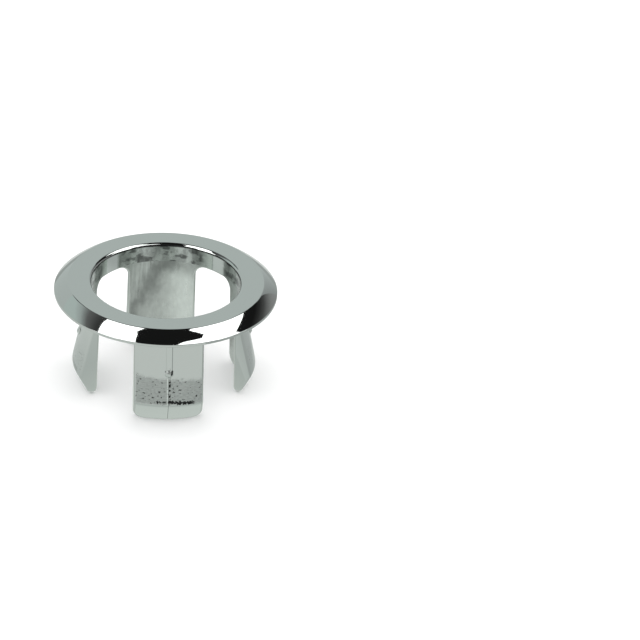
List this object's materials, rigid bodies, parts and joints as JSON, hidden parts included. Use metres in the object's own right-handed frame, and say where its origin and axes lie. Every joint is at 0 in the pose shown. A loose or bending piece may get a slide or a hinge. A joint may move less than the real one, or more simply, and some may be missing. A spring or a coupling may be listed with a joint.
{
  "type": "basin overflow cover",
  "caption": "Round chrome cover that snaps into a wash basin's overflow hole: flat face with a sloping border, round bore, and springy legs with a knee near the foot.",
  "frame": {"origin": "on the ring's axis at the level of the leg tips, where the cover stands", "axes": "+Z along the ring's axis, from the leg tips towards the flange's face"},
  "size_m": [0.03, 0.03, 0.0152],
  "materials": {
    "chrome": "polished chrome plating"
  },
  "bodies": {
    "root": {"overflow_cover": "chrome"}
  },
  "joints": []
}
